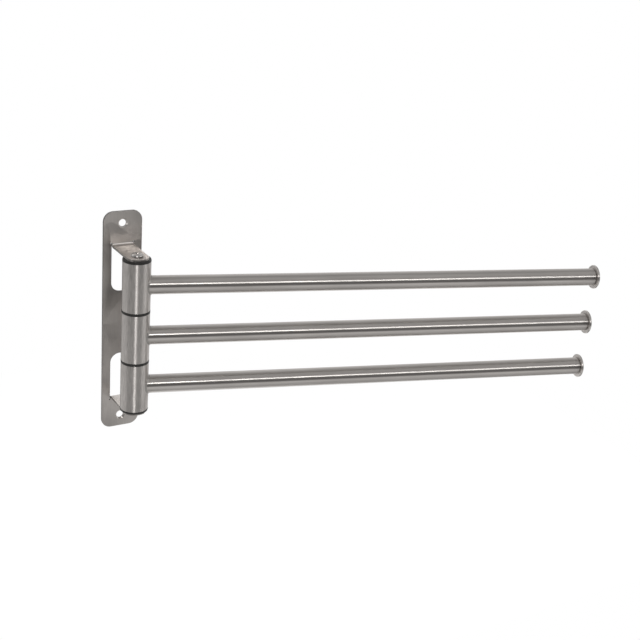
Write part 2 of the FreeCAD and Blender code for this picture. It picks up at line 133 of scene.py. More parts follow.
# The room that the steel reflects, as (height, brightness) of a direction.
BEHIND = ((-1.0, 0.22), (-0.4, 0.34), (0.0, 0.52), (0.3, 1.0), (0.6, 0.72), (0.87, 0.5),
          (0.93, 0.28), (1.0, 0.28))
BELOW_CAMERA = ((-1.0, 0.45), (-0.75, 0.62), (-0.46, 0.8), (-0.37, 0.66), (-0.27, 0.26))
BESIDE = ((-1.0, 0.4), (-0.6, 0.66), (0.4, 0.66), (0.8, 0.4), (1.0, 0.3))

# Heights where the dark room above the camera starts and ends, and where the ceiling does.
ROOM_STARTS = -0.15
ROOM_ENDS = 0.4
CEILING_STARTS = 0.75

# Half the width of the turn from the room behind to the room before the bar, and the
# sideways reach over which the room beside it takes over.
FRONT_BLEND = 0.12
BESIDE_STARTS = 0.4
BESIDE_FULL = 0.85

# The floor, and how much of it is seen as plain white and not as lit paint.
FLOOR_SIZE = (0.6, 0.35, 1)
FLOOR_PLACE = (0.15, 0.32, -0.35)
FLOOR_PAINT = (0.95, 0.95, 0.95, 1)
FLOOR_GLOW = 0.85

WHITE = (1, 1, 1, 1)

# Along the arms, the place that the lamps point at.
LIT_X = 0.1

# Width of the camera's frame in millimetres, and the nearest that it sees.
FRAME_WIDTH = 36
NEAREST = 10 * MM

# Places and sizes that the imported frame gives.
PLATE_LOW, PLATE_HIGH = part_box("wall_plate")
ROD_LOW, ROD_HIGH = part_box("pivot_rod")
WASHER_LOW, WASHER_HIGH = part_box("friction_washer_top")
BARREL_LOW, BARREL_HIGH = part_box("barrel_middle")
TUBE_LOW, TUBE_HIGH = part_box("arm_tube_middle")
CAP_LOW, CAP_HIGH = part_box("end_cap_middle")
BUSH_LOW, BUSH_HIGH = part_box("bush_middle_top")
SCREW_LOW, SCREW_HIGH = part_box("pivot_screw_top")

PIVOT_Y = (ROD_LOW.y + ROD_HIGH.y) / 2
TAB_FACE = ROD_HIGH.z
ROD_RADIUS = (ROD_HIGH.x - ROD_LOW.x) / 2
WASHER_RADIUS = (WASHER_HIGH.x - WASHER_LOW.x) / 2
BARREL_RADIUS = (BARREL_HIGH.x - BARREL_LOW.x) / 2
BARREL_LENGTH = BARREL_HIGH.z - BARREL_LOW.z
ARM_RADIUS = (TUBE_HIGH.z - TUBE_LOW.z) / 2
CAP_RADIUS = (CAP_HIGH.z - CAP_LOW.z) / 2
FLANGE_RADIUS = (BUSH_HIGH.x - BUSH_LOW.x) / 2
BUSH_HEIGHT = BUSH_HIGH.z - BUSH_LOW.z
HEAD_RADIUS = (SCREW_HIGH.x - SCREW_LOW.x) / 2
SCREW_HEIGHT = SCREW_HIGH.z - SCREW_LOW.z


def length(name, default, description):
    """A size that a user can change, in metres."""
    return FloatProperty(name=name, description=description, default=default,
                         unit="LENGTH", subtype="DISTANCE", precision=5)


def colour(name, default, description):
    """A surface colour that a user can change."""
    return FloatVectorProperty(name=name, description=description, default=default,
                               subtype="COLOR", size=3, min=0, max=1)


def strength(name, default, description):
    """A power or brightness that a user can change."""
    return FloatProperty(name=name, description=description, default=default, min=0)


def angle(name, degrees, description):
    """A turn that a user can change."""
    return FloatProperty(name=name, description=description, default=radians(degrees),
                         subtype="ANGLE")


class PlateSizes(bpy.types.PropertyGroup):
    """Sizes of the stamped wall plate and its two tabs."""
    sheet: length("Sheet", 1.5 * MM, "Thickness of the sheet")
    corner: length("Corner", 7 * MM, "Radius of the plate's corners")
    rolled_edge: length("Rolled edge", 0.25 * MM, "Round that stamping leaves on the front")
    cut_edge: length("Cut edge", 0.08 * MM, "Round on the other edges")
    bend: length("Bend", 1.5 * MM, "Inside radius of the bend")
    tab_width: length("Tab width", 15 * MM, "Across a tab")
    tab_flat: length("Tab flat", 2.2 * MM, "Straight stretch of the tab's end")
    window_gap: length("Window gap", 0.25 * MM, "Tab's edge to the window's side")
    window_height: length("Window height", 34.98 * MM, "Fold line to the window's end")
    relief: length("Relief", 0.5 * MM, "Radius of the notch at each end of a fold")
    hole_inset: length("Hole inset", 8.5 * MM, "Wall screw hole from the plate's end")
    hole: length("Hole", 2.5 * MM, "Radius of a wall screw hole")
    countersink: length("Countersink", 1 * MM, "Width of a wall screw hole's chamfer")
    pivot_hole: length("Pivot hole", 2.2 * MM, "Radius of the hole in a tab")


class HingeSizes(bpy.types.PropertyGroup):
    """Sizes of the barrels, bushes, washers and pivot screws."""
    barrel_wall: length("Barrel wall", 1.2 * MM, "Wall of a barrel")
    barrel_edge: length("Barrel edge", 0.25 * MM, "Broken edge of a barrel")
    flange: length("Flange", 0.9 * MM, "Thickness of a bush's flange")
    flange_edge: length("Flange edge", 0.2 * MM, "Round on a flange's rim")
    bush_gap: length("Bush gap", 0.03 * MM, "Between a bush and its barrel")
    bush_lead: length("Bush lead", 0.6 * MM, "Chamfer at a bush's inner end")
    running_gap: length("Running gap", 0.05 * MM, "Between the rod and a bush")
    washer_edge: length("Washer edge", 0.1 * MM, "Round on a washer's rim")
    slip: length("Slip", 0.02 * MM, "Between a washer and the bush that turns on it")
    screw: length("Screw", 2 * MM, "Radius of a pivot screw's thread")
    screw_point: length("Screw point", 0.6 * MM, "Chamfer at a screw's point")
    head: length("Head", 2 * MM, "Height of a pan head")
    head_rim: length("Head rim", 0.5 * MM, "Upright part of a head's side")
    head_edge: length("Head edge", 0.15 * MM, "Round at the foot of a head")
    recess_span: length("Recess span", 4.4 * MM, "Across the cross recess")
    recess_slot: length("Recess slot", 1.1 * MM, "Width of a recess slot")
    recess_depth: length("Recess depth", 1.2 * MM, "Depth of the cross recess")


class ArmSizes(bpy.types.PropertyGroup):
    """Sizes of the arm tubes, their welds and their end caps."""
    reach: length("Reach", 340 * MM, "Pivot axis to a cap's outer face")
    wall: length("Wall", 1 * MM, "Wall of an arm tube")
    weld_leg: length("Weld leg", 0.7 * MM, "Leg of the weld seam")
    weld_root: length("Weld root", 0.3 * MM, "Depth of the seam under both surfaces")
    cap: length("Cap", 1.6 * MM, "Thickness of a cap's flange")
    cap_seam: length("Cap seam", 0.4 * MM, "Dark joint between a tube's end and its cap")
    cap_land: length("Cap land", 0.4 * MM, "Upright part of a cap's rim")
    cap_spigot: length("Cap spigot", 12 * MM, "Part of a cap inside its tube")
    cap_shell: length("Cap shell", 1.5 * MM, "Wall of a cap's spigot")
    cap_gap: length("Cap gap", 0.05 * MM, "Between a spigot and its tube")
    cap_lead: length("Cap lead", 0.8 * MM, "Chamfer at a spigot's inner end")


class Finishes(bpy.types.PropertyGroup):
    """Colours of the steel and plastic surfaces."""
    sheet_steel: colour("Sheet steel", (0.52, 0.49, 0.465), "Brushed sheet")
    tube_steel: colour("Tube steel", (0.58, 0.55, 0.525), "Brushed tube")
    screw_steel: colour("Screw steel", (0.55, 0.53, 0.51), "Plated screws")
    weld_steel: colour("Weld steel", (0.34, 0.325, 0.31), "Polished weld")
    plastic: colour("Plastic", (0.011, 0.01, 0.009), "Black bushes and washers")


class StageSettings(bpy.types.PropertyGroup):
    """The camera's place and the strengths and places of the lights."""
    lens: FloatProperty(name="Lens", description="Focal length on a 36 mm frame",
                        default=62.84, unit="CAMERA")
    camera_place: FloatVectorProperty(
        name="Camera place", description="Where the camera stands", subtype="TRANSLATION",
        default=(-267.15 * MM, -678.44 * MM, 297.37 * MM))
    camera_azimuth: angle("Camera azimuth", -32.38, "Camera's heading from the plate's front")
    camera_elevation: angle("Camera elevation", 21.61, "Camera's height over the horizon")
    camera_roll: angle("Camera roll", 4.94, "Camera's tilt about its line of sight")
    key: strength("Key", 23.0, "Power of the softbox over the camera, in watts")
    key_azimuth: angle("Key azimuth", -22, "Key softbox's heading from the plate's front")
    key_elevation: angle("Key elevation", 27, "Key softbox's height over the horizon")
    key_width: length("Key width", 0.6, "Across the softbox over the camera")
    side: strength("Side light", 5.5, "Power of the softbox to the right, in watts")
    side_azimuth: angle("Side azimuth", 46, "Side softbox's heading from the plate's front")
    side_elevation: angle("Side elevation", 15, "Side softbox's height over the horizon")
    side_width: length("Side width", 1.8, "Across the softbox to the right")
    softbox_distance: length("Softbox distance", 3.0, "From the bar to the softboxes")
    softbox_height: length("Softbox height", 0.25, "Up each softbox")
    room: strength("Room", 0.1, "Brightness of the room behind the camera")
    ceiling: strength("Ceiling", 0.52, "Brightness of the ceiling")
    fill: strength("Fill", 1.0, "Brightness of the light on matt surfaces")


# Meshes ---------------------------------------------------------------------------

def sharp_edges(mesh, test=lambda co: True):
    """Edges where two faces meet sharply, and whose ends pass a test."""
    return [edge for edge in mesh.edges
            if len(edge.link_faces) == 2 and edge.calc_face_angle() > SHARP
            and all(test(vert.co) for vert in edge.verts)]


def round_edges(mesh, edges, radius, steps=3):
    """Round edges, or chamfer them where steps is 1."""
    bmesh.ops.bevel(mesh, geom=edges, affect="EDGES", offset=radius, offset_type="OFFSET",
                    segments=steps, profile=0.5, material=-1, clamp_overlap=False)


def merge_and_face_out(mesh):
    """Close seams and poles, then turn all faces outwards."""
    bmesh.ops.remove_doubles(mesh, verts=mesh.verts, dist=1e-7)
    bmesh.ops.recalc_face_normals(mesh, faces=mesh.faces)


def turned(outline, steps=TURN_STEPS):
    """Turn an outline of (radius, height) corners about the Z axis."""
    mesh = bmesh.new()
    corners = [mesh.verts.new((radius, 0, height)) for radius, height in outline]
    sides = [mesh.edges.new((start, end))
             for start, end in zip(corners, corners[1:] + corners[:1])
             if start.co.x > 0 or end.co.x > 0]
    bmesh.ops.spin(mesh, geom=corners + sides, axis=(0, 0, 1), cent=(0, 0, 0),
                   dvec=(0, 0, 0), angle=2 * pi, steps=steps, use_merge=True)
    merge_and_face_out(mesh)
    return mesh


def ring(mesh, radius, height):
    """Edges of one ring of a turned mesh."""
    near = 1e-6
    return sharp_edges(mesh, lambda co: abs(co.z - height) < near
                       and abs(co.xy.length - radius) < near)


def lay_turned_grain(mesh, offset=0.0):
    """Note each point's place on a turned piece, for brushing that follows its surface.

    "own" holds the heading round the axis in X and Y, and the way along the outline
    in Z. The map "grain" runs along the outline in U and round the axis in V.
    """
    own = mesh.verts.layers.float_vector.new("own")
    for vert in mesh.verts:
        heading = vert.co.xy.normalized() * ARM_RADIUS
        vert[own] = (heading.x, heading.y, vert.co.z + vert.co.xy.length + offset)
    grain = mesh.loops.layers.uv.new("grain")
    for face in mesh.faces:
        middle = face.calc_center_median()
        heading = atan2(middle.y, middle.x)
        for loop in face.loops:
            co = loop.vert.co
            turn = (atan2(co.y, co.x) - heading + pi) % (2 * pi) - pi
            loop[grain].uv = (OUTLINE_STRETCH * co.z + co.xy.length,
                              (heading + turn) * ARM_RADIUS)


def stand_on_pivot(mesh, height, upside_down=False):
    """Move a turned mesh onto the pivot axis, turned over first where it points down."""
    if upside_down:
        bmesh.ops.rotate(mesh, verts=mesh.verts, cent=(0, 0, 0),
                         matrix=Matrix.Rotation(pi, 3, "X"))
    bmesh.ops.translate(mesh, verts=mesh.verts, vec=(0, PIVOT_Y, height))


def lay_along_arm(mesh, arm):
    """Lay a turned mesh along its arm, which points where the joint is at rest."""
    joint = next(j for j in frame["joints"] if j["name"] == "swing_" + arm)
    rest = radians(joint["range_deg"][0])
    low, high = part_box("arm_tube_" + arm)
    place = Matrix.Translation((0, PIVOT_Y, (low.z + high.z) / 2))
    aim = Matrix.Rotation(rest, 4, "Z") @ Matrix.Rotation(pi / 2, 4, "Y")
    bmesh.ops.transform(mesh, verts=mesh.verts, matrix=place @ aim)


def cope_to_barrel(mesh):
    """Push the near end of a mesh that lies along the arm onto the barrel's round side."""
    for vert in mesh.verts:
        if vert.co.z < BARREL_RADIUS + COPE_REACH:
            vert.co.z += sqrt(BARREL_RADIUS ** 2 - vert.co.y ** 2) - BARREL_RADIUS


def cut_away(mesh, tool):
    """Cut the shape of one closed mesh out of another, and free the tool."""
    things = []
    for shape in (mesh, tool):
        thing = bpy.data.objects.new("cut", bpy.data.meshes.new("cut"))
        shape.to_mesh(thing.data)
        bpy.context.scene.collection.objects.link(thing)
        things.append(thing)
    cut = things[0].modifiers.new("cut", "BOOLEAN")
    cut.operation = "DIFFERENCE"
    cut.solver = "EXACT"
    cut.object = things[1]
    mesh.clear()
    mesh.from_object(things[0], bpy.context.evaluated_depsgraph_get())
    for thing in things:
        data = thing.data
        bpy.data.objects.remove(thing)
        bpy.data.meshes.remove(data)
    tool.free()


def add_piece(mesh, node, body, material):
    """Make a finished mesh a piece of the towel bar, in place of its CAD node."""
    data = bpy.data.meshes.new(node)
    mesh.to_mesh(data)
    mesh.free()
    data.shade_smooth()
    data.set_sharp_from_angle(angle=CREASE)
    data.materials.append(material)
    piece = bpy.data.objects.new(node + "_finished", data)
    bpy.context.scene.collection.objects.link(piece)
    weigh = piece.modifiers.new("weighted_normals", "WEIGHTED_NORMAL")
    weigh.keep_sharp = True
    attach(piece, body)
    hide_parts(node)
    return piece


# The stamped plate ----------------------------------------------------------------

def draw_line(mesh, start, place):
    """A straight edge from a vertex to a place. Gives back its end."""
    end = mesh.verts.new(place)
    mesh.edges.new((start, end))
    return end


def draw_arc(mesh, start, centre, axis, turn, steps):
    """A round run of edges from a vertex about an axis. Gives back its end."""
    made = bmesh.ops.spin(mesh, geom=[start], axis=axis, cent=centre, dvec=(0, 0, 0),
                          angle=turn, steps=steps)
    return next(item for item in made["geom_last"]
                if isinstance(item, bmesh.types.BMVert))


def fill_outline(mesh, start, end):
    """Close a run of edges and fill it with one face."""
    mesh.edges.new((end, start))
    loose = [edge for edge in mesh.edges if not edge.link_faces]
    bmesh.ops.edgeloop_fill(mesh, edges=loose)


def draw_quarter_plate(mesh, sizes, fold_z):
    """The upper right quarter of the plate's back face, with half of its window."""
    back = (0, 1, 0)
    room = (0, -1, 0)
    right = PLATE_HIGH.x
    top = PLATE_HIGH.z
    hole_z = top - sizes.hole_inset
    half_tab = sizes.tab_width / 2
    side = half_tab + sizes.window_gap
    notch_x = half_tab + sizes.relief
    notch_turn = 1.5 * pi + asin((notch_x - side) / sizes.relief)
    window_end = fold_z - sizes.window_height
    window_corner = side - sizes.tab_flat / 2
    corner_x = right - sizes.corner
    corner_z = top - sizes.corner

    start = mesh.verts.new((0, 0, 0))
    pen = draw_line(mesh, start, (right, 0, 0))
    pen = draw_line(mesh, pen, (right, 0, corner_z))
    pen = draw_arc(mesh, pen, (corner_x, 0, corner_z), room, pi / 2, CORNER_STEPS)
    pen = draw_line(mesh, pen, (0, 0, top))
    pen = draw_line(mesh, pen, (0, 0, hole_z + sizes.hole))
    pen = draw_arc(mesh, pen, (0, 0, hole_z), back, pi, HOLE_STEPS)
    fold_start = draw_line(mesh, pen, (0, 0, fold_z))
    fold_end = draw_line(mesh, fold_start, (half_tab, 0, fold_z))
    pen = draw_arc(mesh, fold_end, (notch_x, 0, fold_z), back, notch_turn, HOLE_STEPS)
    pen = draw_line(mesh, pen, (side, 0, window_end + window_corner))
    pen = draw_arc(mesh, pen, (side - window_corner, 0, window_end + window_corner), back,
                   pi / 2, CORNER_STEPS)
    pen = draw_line(mesh, pen, (0, 0, window_end))
    fill_outline(mesh, start, pen)
    return mesh.edges.get((fold_start, fold_end))


def draw_half_tab(mesh, sizes, fold, fold_z):
    """Half of the upper tab: the bend's outer side, then the tab's under face."""
    bend_y = -(sizes.sheet + sizes.bend)
    nose_y = PLATE_LOW.y
    half_flat = sizes.tab_flat / 2
    corner = sizes.tab_width / 2 - half_flat
    bent = bmesh.ops.spin(mesh, geom=[fold, *fold.verts], axis=(-1, 0, 0),
                          cent=(0, bend_y, fold_z), dvec=(0, 0, 0), angle=pi / 2,
                          steps=CORNER_STEPS)
    inner, outer = sorted((item for item in bent["geom_last"]
                           if isinstance(item, bmesh.types.BMVert)), key=lambda v: v.co.x)
    down = (0, 0, -1)
    pen = draw_line(mesh, outer, (outer.co.x, nose_y + corner, TAB_FACE))
    pen = draw_arc(mesh, pen, (half_flat, nose_y + corner, TAB_FACE), down, pi / 2,
                   CORNER_STEPS)
    pen = draw_line(mesh, pen, (0, nose_y, TAB_FACE))
    pen = draw_line(mesh, pen, (0, PIVOT_Y - sizes.pivot_hole, TAB_FACE))
    pen = draw_arc(mesh, pen, (0, PIVOT_Y, TAB_FACE), (0, 0, 1), pi, HOLE_STEPS)
    mesh.edges.new((pen, inner))
    loose = [edge for edge in mesh.edges if not edge.link_faces]
    bmesh.ops.edgeloop_fill(mesh, edges=loose + [mesh.edges.get((inner, outer))])


def make_plate_mesh(sizes):
    """Quarter of the sheet, mirrored twice, given its thickness and its broken edges."""
    mesh = bmesh.new()
    fold_z = TAB_FACE + sizes.sheet + sizes.bend
    fold = draw_quarter_plate(mesh, sizes, fold_z)
    draw_half_tab(mesh, sizes, fold, fold_z)
    for axis in ("X", "Z"):
        bmesh.ops.mirror(mesh, geom=mesh.verts[:] + mesh.edges[:] + mesh.faces[:],
                         merge_dist=1e-7, axis=axis)
    merge_and_face_out(mesh)
    bmesh.ops.solidify(mesh, geom=mesh.faces[:], thickness=sizes.sheet)
    bmesh.ops.recalc_face_normals(mesh, faces=mesh.faces)
    return mesh


def finish_plate_edges(mesh, sizes):
    """Countersink the wall holes, roll the stamped front rim and break the other edges."""
    front = -sizes.sheet
    hole_z = PLATE_HIGH.z - sizes.hole_inset
    near = 1e-5

    def on_hole(co):
        from_centre = hypot(co.x, abs(co.z) - hole_z)
        return abs(co.y - front) < near and abs(from_centre - sizes.hole) < near

    def on_rim(co):
        over_x = abs(co.x) - PLATE_HIGH.x + sizes.corner
        over_z = abs(co.z) - PLATE_HIGH.z + sizes.corner
        over = hypot(over_x, over_z) if min(over_x, over_z) > 0 else max(over_x, over_z)
        return abs(co.y - front) < near and abs(over - sizes.corner) < near

    rim = sharp_edges(mesh, on_rim)
    holes = sharp_edges(mesh, on_hole)
    taken = set(rim + holes)
    others = [edge for edge in sharp_edges(mesh) if edge not in taken]
    round_edges(mesh, others, sizes.cut_edge, 2)
    round_edges(mesh, sharp_edges(mesh, on_rim), sizes.rolled_edge, 4)
    round_edges(mesh, sharp_edges(mesh, on_hole), sizes.countersink, 1)


def lay_sheet_grain(mesh, sizes):
    """Map the sheet, and note its painted light: painted shade on its cut edges, and a painted
    highlight on its countersinks and bent tabs.

    U runs across the brushing and V follows plate, bend and tab.
    """
    grain = mesh.loops.layers.uv.new("grain")
    painted_light = mesh.faces.layers.float.new("painted_light")
    hole_z = PLATE_HIGH.z - sizes.hole_inset
    for face in mesh.faces:
        middle = face.calc_center_median()
        on_tab = middle.y < -TAB_STARTS * sizes.sheet
        flat = face.normal.z if on_tab else face.normal.y
        in_bend = on_tab and middle.y > -sizes.sheet - sizes.bend
        is_cut = abs(face.normal.x) > SIDEWAYS if in_bend else abs(flat) < UPRIGHT
        from_hole = hypot(middle.x, abs(middle.z) - hole_z)
        # Painted light and shade: countersinks and bent tabs drawn lighter, cut edges drawn
        # darker.
        if from_hole < sizes.hole + sizes.countersink and not is_cut:
            face[painted_light] = COUNTERSINK_PAINTED_HIGHLIGHT
        elif is_cut:
            face[painted_light] = TAB_EDGE_PAINTED_SHADE if on_tab else PLATE_EDGE_PAINTED_SHADE
        elif on_tab:
            face[painted_light] = TAB_PAINTED_LIGHT
        for loop in face.loops:
            co = loop.vert.co
            loop[grain].uv = (co.x + co.y / 2, abs(co.z) + co.y)


# Materials ------------------------------------------------------------------------

def put(tree, kind, inputs=None, **settings):
    """Add a node with its settings, and set or link its inputs."""
    node = tree.nodes.new(kind)
    for name, value in settings.items():
        setattr(node, name, value)
    for name, value in (inputs or {}).items():
        if isinstance(value, bpy.types.NodeSocket):
            tree.links.new(value, node.inputs[name])
        else:
            node.inputs[name].default_value = value
    return node


def pattern(tree, place, grains, low, high, detail=2.0, moved=(0, 0, 0)):
    """Noise with a grain size per axis, spread between two values."""
    scale = tuple(1 / grain for grain in grains)
    laid = put(tree, "ShaderNodeMapping",
               {"Vector": place, "Scale": scale, "Location": moved})
    noise = put(tree, "ShaderNodeTexNoise",
                {"Vector": laid.outputs[0], "Scale": 1.0, "Detail": detail})
    return put(tree, "ShaderNodeMapRange",
               {"Value": noise.outputs[0], "From Min": NOISE_LOW, "From Max": NOISE_HIGH,
                "To Min": low, "To Max": high}).outputs[0]


def shaded(base, amount):
    """A colour made lighter or darker, with no transparency."""
    return (*(min(1.0, part * amount) for part in base), 1.0)


def new_material(name):
    """An empty material with its output, and its node tree."""
    material = bpy.data.materials.new(name)
    material.use_nodes = True
    tree = material.node_tree
    tree.nodes.clear()
    return material, tree


def brushed_steel(name, base, place_kind, streak, groove, roughness=0.35, stretch=1.0,
                  contrast=0.16, depth=0.02 * MM, waviness=0.0):
    """Steel with fine brushing that draws its reflections out along U of the map "grain".

    A streak and a groove are each a grain size per axis, on the places that place_kind
    names: "own" for a turned piece, or "object". A face attribute of painted light and shade
    makes parts lighter or darker, and waviness is the depth of the sheet's dents.
    """
    material, tree = new_material(name)
    if place_kind == "own":
        place = put(tree, "ShaderNodeAttribute", attribute_name="own").outputs["Vector"]
    else:
        place = put(tree, "ShaderNodeTexCoord").outputs["Object"]
    streaks = pattern(tree, place, streak, 0.0, 1.0, 4.0)
    smudge = pattern(tree, place, SMUDGE, SMUDGE_POLISH, SMUDGE_DULL)
    rough_grain = pattern(tree, place, groove, roughness - BRUSHED_SPREAD,
                          roughness + BRUSHED_SPREAD)
    rough = put(tree, "ShaderNodeMath", {0: rough_grain, 1: smudge}, operation="ADD")
    shade = put(tree, "ShaderNodeMix", {0: streaks, 6: shaded(base, 1 - contrast),
                                        7: shaded(base, 1 + contrast)}, data_type="RGBA")
    # Painted light and shade: a face attribute scales the steel's colour lighter or darker.
    painted_light = put(tree, "ShaderNodeAttribute", attribute_name="painted_light").outputs["Fac"]
    painted_light = put(tree, "ShaderNodeMath", {0: painted_light, 1: 1.0}, operation="ADD")
    with_painted_light = put(tree, "ShaderNodeVectorMath", {"Vector": shade.outputs[2],
                                               "Scale": painted_light.outputs[0]}, operation="SCALE")
    grooves = pattern(tree, place, groove, 0.0, 1.0, 3.0)
    dents = pattern(tree, place, DENT, 0.0, 1.0, 0.0, DENT_PLACE)
    uneven = put(tree, "ShaderNodeBump", {"Height": dents, "Distance": waviness,
                                          "Strength": 1.0})
    bump = put(tree, "ShaderNodeBump", {"Height": grooves, "Distance": depth,
                                        "Strength": BUMP, "Normal": uneven.outputs[0]})
    tangent = put(tree, "ShaderNodeTangent", direction_type="UV_MAP", uv_map="grain")
    steel = put(tree, "ShaderNodeBsdfPrincipled",
                {"Base Color": with_painted_light.outputs[0], "Metallic": 1.0,
                 "Roughness": rough.outputs[0], "Anisotropic": stretch,
                 "Tangent": tangent.outputs[0], "Normal": bump.outputs[0]})
    put(tree, "ShaderNodeOutputMaterial", {"Surface": steel.outputs[0]})
    return material


def smooth_metal(name, base, grain, roughness, contrast=0.08, depth=0.01 * MM):
    """Metal without brushing, on the piece's object coordinates."""
    material, tree = new_material(name)
    place = put(tree, "ShaderNodeTexCoord").outputs["Object"]
    cloud = pattern(tree, place, grain, 0.0, 1.0, 3.0)
    rough = pattern(tree, place, grain, roughness - SMOOTH_SPREAD,
                    roughness + SMOOTH_SPREAD)
    shade = put(tree, "ShaderNodeMix", {0: cloud, 6: shaded(base, 1 - contrast),
                                        7: shaded(base, 1 + contrast)}, data_type="RGBA")
    bump = put(tree, "ShaderNodeBump", {"Height": cloud, "Distance": depth, "Strength": BUMP})
    steel = put(tree, "ShaderNodeBsdfPrincipled",
                {"Base Color": shade.outputs[2], "Metallic": 1.0, "Roughness": rough,
                 "Normal": bump.outputs[0]})
    put(tree, "ShaderNodeOutputMaterial", {"Surface": steel.outputs[0]})
    return material


def moulded_plastic(name, base):
    """Matt black plastic with the fine texture of its mould."""
    material, tree = new_material(name)
    place = put(tree, "ShaderNodeTexCoord").outputs["Object"]
    cloud = pattern(tree, place, (0.4 * MM,) * 3, 0.0, 1.0)
    rough = pattern(tree, place, (2 * MM,) * 3, 0.4, 0.52)
    shade = put(tree, "ShaderNodeMix", {0: cloud, 6: shaded(base, 0.8),
                                        7: shaded(base, 1.3)}, data_type="RGBA")
    bump = put(tree, "ShaderNodeBump", {"Height": cloud, "Distance": 0.01 * MM,
                                        "Strength": 0.5})
    plastic = put(tree, "ShaderNodeBsdfPrincipled",
                  {"Base Color": shade.outputs[2], "Roughness": rough,
                   "Normal": bump.outputs[0]})
    put(tree, "ShaderNodeOutputMaterial", {"Surface": plastic.outputs[0]})
    return material


def sheet_finish(scene):
    """Brushed sheet, with its grain up and down the plate and out along the tabs."""
    return brushed_steel("brushed_sheet", scene.bar_finishes.sheet_steel, "object",
                         streak=(0.35 * MM, 12 * MM, 12 * MM),
                         groove=(0.12 * MM, 6 * MM, 6 * MM), roughness=0.4, contrast=0.07,
                         waviness=1.6 * MM)


def tube_finish(scene, name, line, contrast):
    """Tube polished round its girth, with faint lines of a given length along it."""
    return brushed_steel(name, scene.bar_finishes.tube_steel, "own",
                         streak=(0.3 * MM, 0.3 * MM, line),
                         groove=(4 * MM, 4 * MM, 0.15 * MM), roughness=0.38,
                         contrast=contrast)


# Steps that build the towel bar ---------------------------------------------------

class TOWELBAR_OT_wall_plate(bpy.types.Operator):
    """Model the stamped wall plate with its two bent tabs"""
    bl_idname = "towelbar.wall_plate"
    bl_label = "Wall Plate"

    def execute(self, context):
        sizes = context.scene.bar_plate
        mesh = make_plate_mesh(sizes)
        finish_plate_edges(mesh, sizes)
        lay_sheet_grain(mesh, sizes)
        add_piece(mesh, "wall_plate", "root", sheet_finish(context.scene))
        return {"FINISHED"}


class TOWELBAR_OT_pivot(bpy.types.Operator):
    """Model the pivot screws and friction washers, and finish the rod"""
    bl_idname = "towelbar.pivot"
    bl_label = "Pivot"

    def execute(self, context):
        sizes = context.scene.bar_hinge
        finishes = context.scene.bar_finishes
        plastic = moulded_plastic("washer_plastic", finishes.plastic)
        bright = brushed_steel("screw_steel", finishes.screw_steel, "own",
                               streak=(1 * MM, 1 * MM, 1 * MM),
                               groove=(2 * MM, 2 * MM, 0.2 * MM),
                               roughness=0.3, stretch=0.5, contrast=0.06)
        for end in ("top", "bottom"):
            upside_down = end == "bottom"
            washer = "friction_washer_" + end
            low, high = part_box(washer)
            mesh = self.washer(sizes, high.z - low.z - sizes.slip)
            stand_on_pivot(mesh, low.z if upside_down else high.z, upside_down)
            add_piece(mesh, washer, "root", plastic)
            screw = "pivot_screw_" + end
            low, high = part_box(screw)
            mesh = self.screw(sizes)
            stand_on_pivot(mesh, low.z + sizes.head if upside_down else high.z - sizes.head,
                           upside_down)
            add_piece(mesh, screw, "root", bright)
        rod = frame["nodes"]["pivot_rod"]
        rod.data.materials.clear()
        rod.data.materials.append(smooth_metal("ground_rod", finishes.screw_steel,
                                               (1 * MM, 1 * MM, 0.1 * MM), 0.3))
        return {"FINISHED"}

    def washer(self, sizes, thickness):
        """A flat ring whose outer rims are rounded, with its top face at z = 0."""
        bore = ROD_RADIUS + sizes.running_gap
        mesh = turned([(bore, -thickness), (WASHER_RADIUS, -thickness),
                       (WASHER_RADIUS, 0), (bore, 0)])
        rims = ring(mesh, WASHER_RADIUS, 0) + ring(mesh, WASHER_RADIUS, -thickness)
        round_edges(mesh, rims, sizes.washer_edge, 3)
        lay_turned_grain(mesh)
        return mesh

    def screw(self, sizes):
        """A pan head screw with a cross recess, whose head sits on z = 0."""
        run = SCREW_HEIGHT - sizes.head
        mesh = turned([(0, -run), (sizes.screw - sizes.screw_point, -run),
                       (sizes.screw, -run + sizes.screw_point), (sizes.screw, 0),
                       (HEAD_RADIUS, 0), (HEAD_RADIUS, sizes.head), (0, sizes.head)],
                      SCREW_STEPS)
        round_edges(mesh, ring(mesh, HEAD_RADIUS, sizes.head), sizes.head - sizes.head_rim, 8)
        round_edges(mesh, ring(mesh, HEAD_RADIUS, 0), sizes.head_edge, 2)
        for turn in (0, pi / 2):
            slot = bmesh.new()
            bmesh.ops.create_cube(slot, size=1)
            bmesh.ops.scale(slot, verts=slot.verts,
                            vec=(sizes.recess_span, sizes.recess_slot, 2 * sizes.recess_depth))
            floor = [vert for vert in slot.verts if vert.co.z < 0]
            bmesh.ops.scale(slot, verts=floor, vec=RECESS_TAPER)
            bmesh.ops.rotate(slot, verts=slot.verts, cent=(0, 0, 0),
                             matrix=Matrix.Rotation(turn + RECESS_TURN, 3, "Z"))
            bmesh.ops.translate(slot, verts=slot.verts, vec=(0, 0, sizes.head))
            cut_away(mesh, slot)
        lay_turned_grain(mesh)
        # Painted shadow: the head's lower rim is drawn darker where it stands on the tab.
        painted_light = mesh.faces.layers.float.new("painted_light")
        for face in mesh.faces:
            middle = face.calc_center_median()
            if middle.xy.length > RIM_STARTS * HEAD_RADIUS and middle.z < sizes.head_rim:
                face[painted_light] = HEAD_RIM_PAINTED_SHADOW
        return mesh


